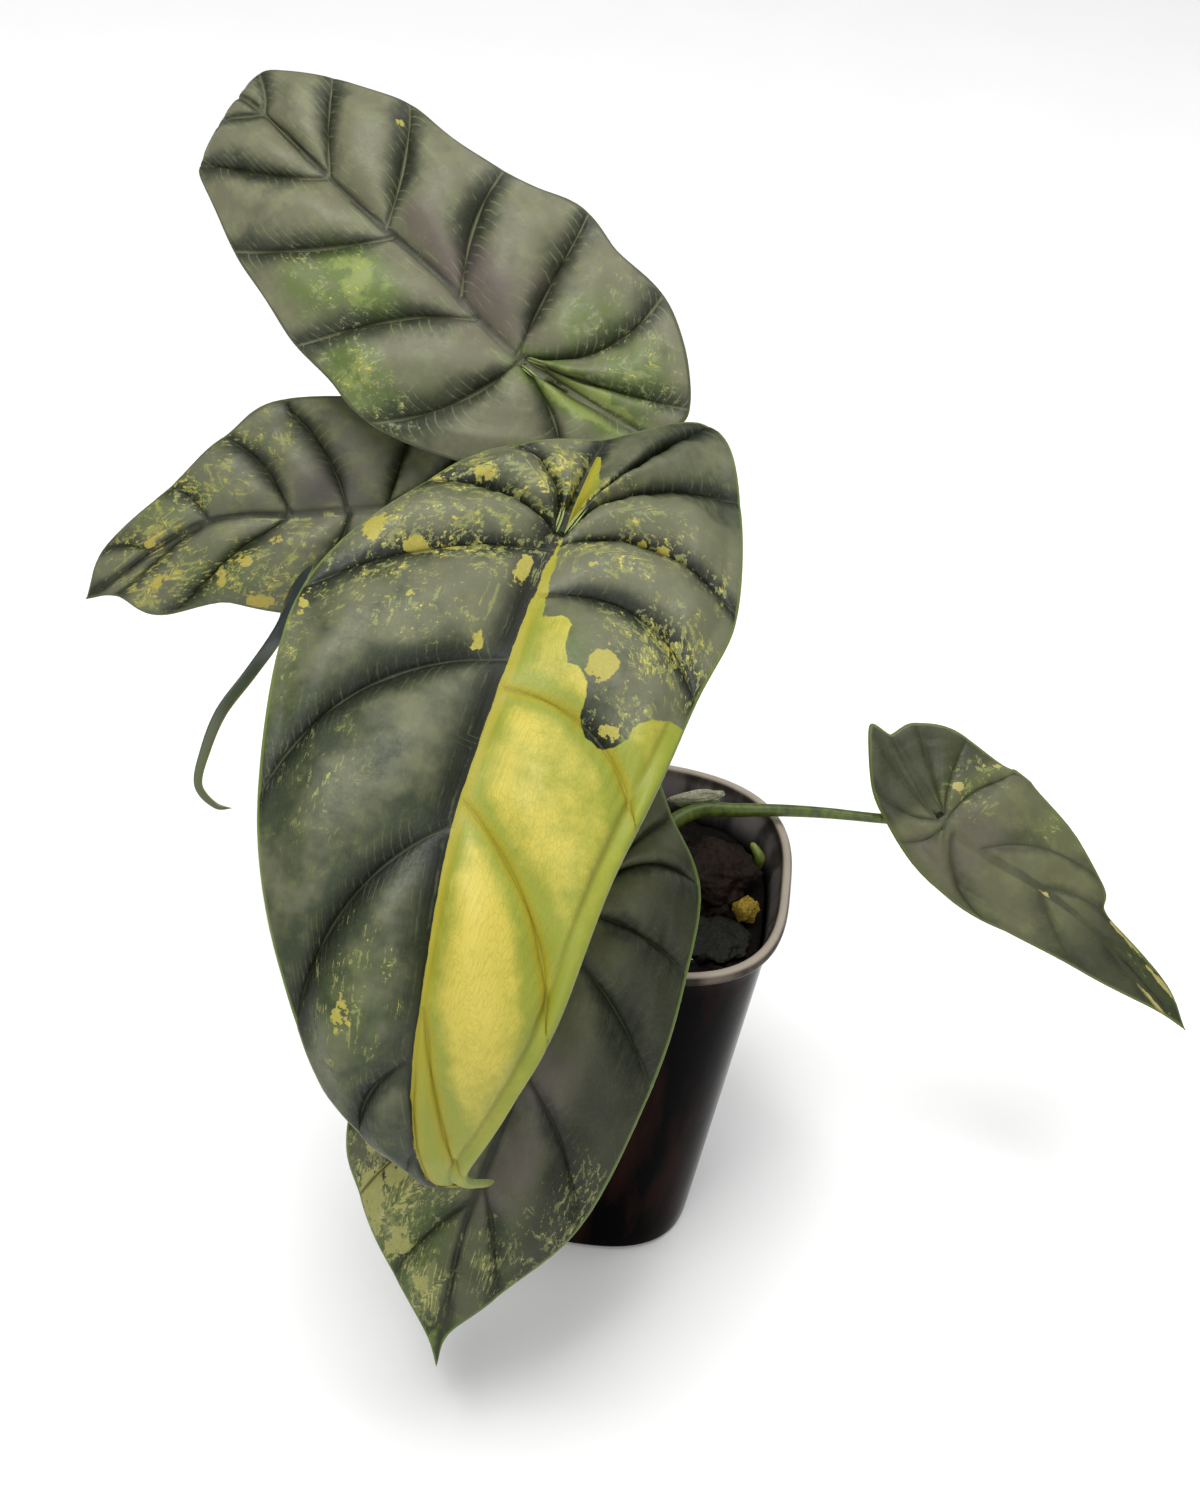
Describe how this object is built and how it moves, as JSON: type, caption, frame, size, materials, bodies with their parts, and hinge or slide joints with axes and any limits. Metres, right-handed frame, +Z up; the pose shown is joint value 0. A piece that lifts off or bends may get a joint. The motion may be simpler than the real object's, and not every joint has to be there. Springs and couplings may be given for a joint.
{
  "type": "potted houseplant",
  "caption": "Silver dragon alocasia in a small rounded-square nursery pot of dark clear plastic, with long quilted arrow-shaped leaves and one yellow half leaf",
  "frame": {"origin": "middle of the pot's base", "axes": "+Z up, -Y towards the front leaf"},
  "size_m": [0.1966, 0.1676, 0.1702],
  "materials": {
    "pot": "gloss",
    "mix": "matte",
    "bark": "matte",
    "pellet": "matte",
    "husk": "matte",
    "crown": "satin",
    "stalk": "satin",
    "leaf": "satin"
  },
  "bodies": {
    "root": {"pot": "pot", "potting_mix": "mix", "crown_and_roots": "crown", "bark_chunk": "bark", "grey_flake": "bark", "yellow_pellet": "pellet", "pale_husk": "husk", "sprout": "stalk", "stalk_front": "stalk", "stalk_top": "stalk", "stalk_left": "stalk", "stalk_lower": "stalk", "stalk_right": "stalk", "stalk_young": "stalk", "blade_front": "leaf", "blade_top": "leaf", "blade_left": "leaf", "blade_lower": "leaf", "blade_right": "leaf", "blade_young": "leaf"}
  },
  "joints": []
}
